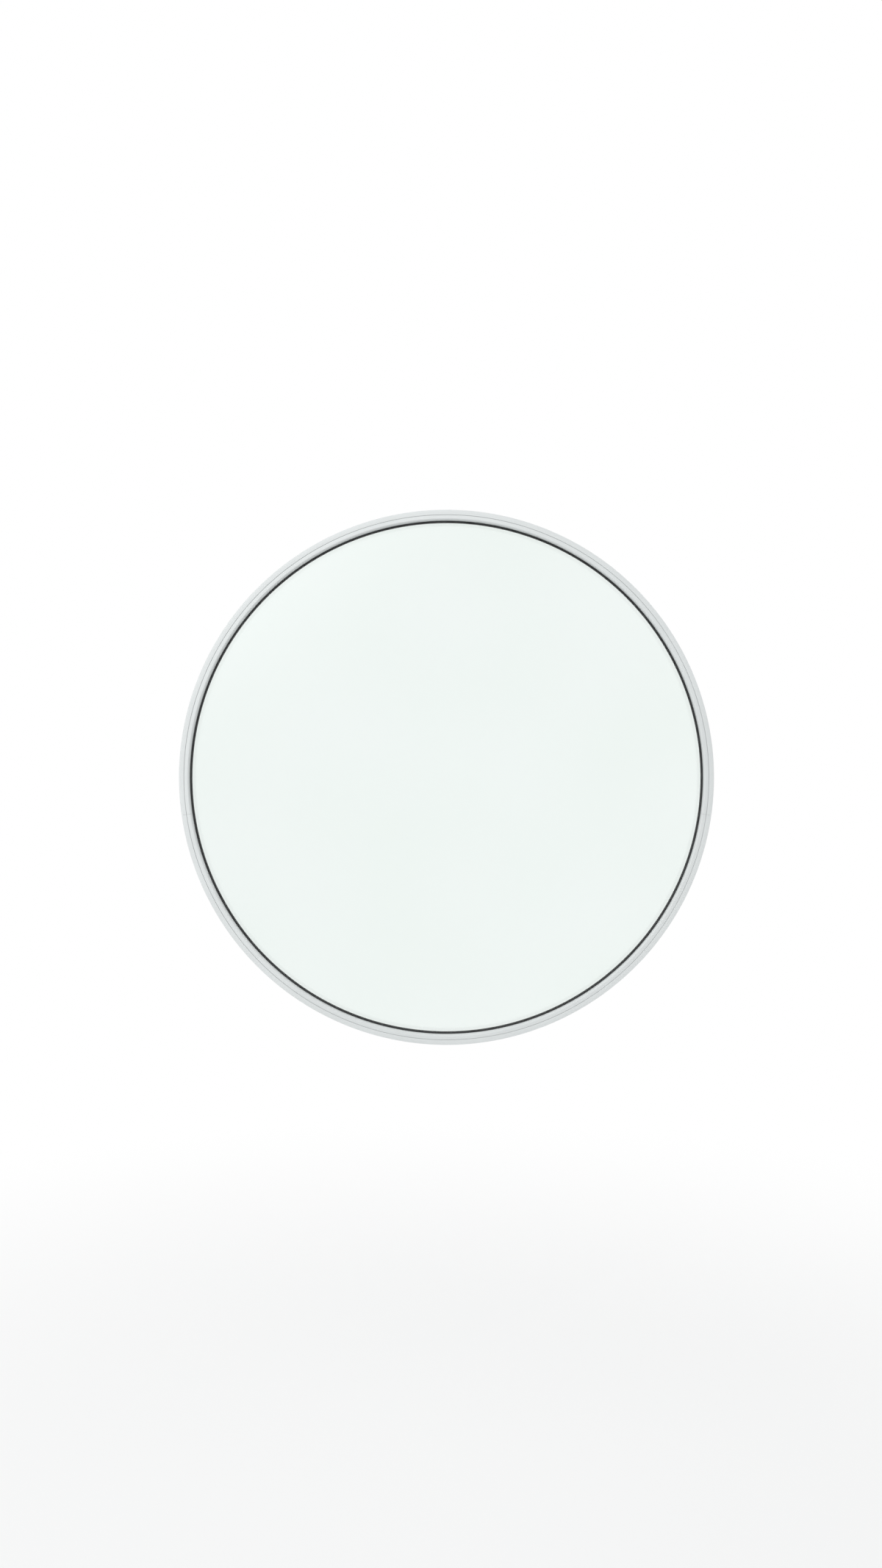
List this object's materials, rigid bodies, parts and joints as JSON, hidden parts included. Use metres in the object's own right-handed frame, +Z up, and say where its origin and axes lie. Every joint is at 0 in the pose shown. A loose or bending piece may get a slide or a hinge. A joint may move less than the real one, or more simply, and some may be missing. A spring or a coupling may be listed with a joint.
{
  "type": "round fixed window",
  "caption": "Round fixed window of insulating glass in a slim powder-coated aluminium frame, closed by a glazing bead on the room side.",
  "frame": {"origin": "on the window's axis, halfway through the frame's depth", "axes": "+Y along the axis, from the room to the outside; +Z up; +X to the right, seen from the room"},
  "size_m": [1.15, 0.065, 1.15],
  "materials": {
    "frame_coating": "pale grey powder coat, satin",
    "polyamide": "glass-filled, dull",
    "gasket_rubber": "dull",
    "float_glass": "clear, polished",
    "spacer_foam": "matt",
    "edge_sealant": "matt",
    "mill_aluminium": "as extruded",
    "block_plastic": "moulded",
    "cover_plastic": "moulded, satin"
  },
  "bodies": {
    "root": {"room_frame_upper": "frame_coating", "room_frame_lower": "frame_coating", "outside_frame_upper": "frame_coating", "outside_frame_lower": "frame_coating", "glazing_bead_upper": "frame_coating", "glazing_bead_lower": "frame_coating", "thermal_bar_upper": "polyamide", "thermal_bar_lower": "polyamide", "room_gasket": "gasket_rubber", "outside_gasket": "gasket_rubber", "room_pane": "float_glass", "outside_pane": "float_glass", "spacer_bar": "spacer_foam", "edge_seal": "edge_sealant", "room_splice_left": "mill_aluminium", "room_splice_right": "mill_aluminium", "outside_splice_left": "mill_aluminium", "outside_splice_right": "mill_aluminium", "setting_block_left": "block_plastic", "setting_block_right": "block_plastic", "location_block_left": "block_plastic", "location_block_right": "block_plastic", "weep_cover_left": "cover_plastic", "weep_cover_right": "cover_plastic"}
  },
  "joints": []
}
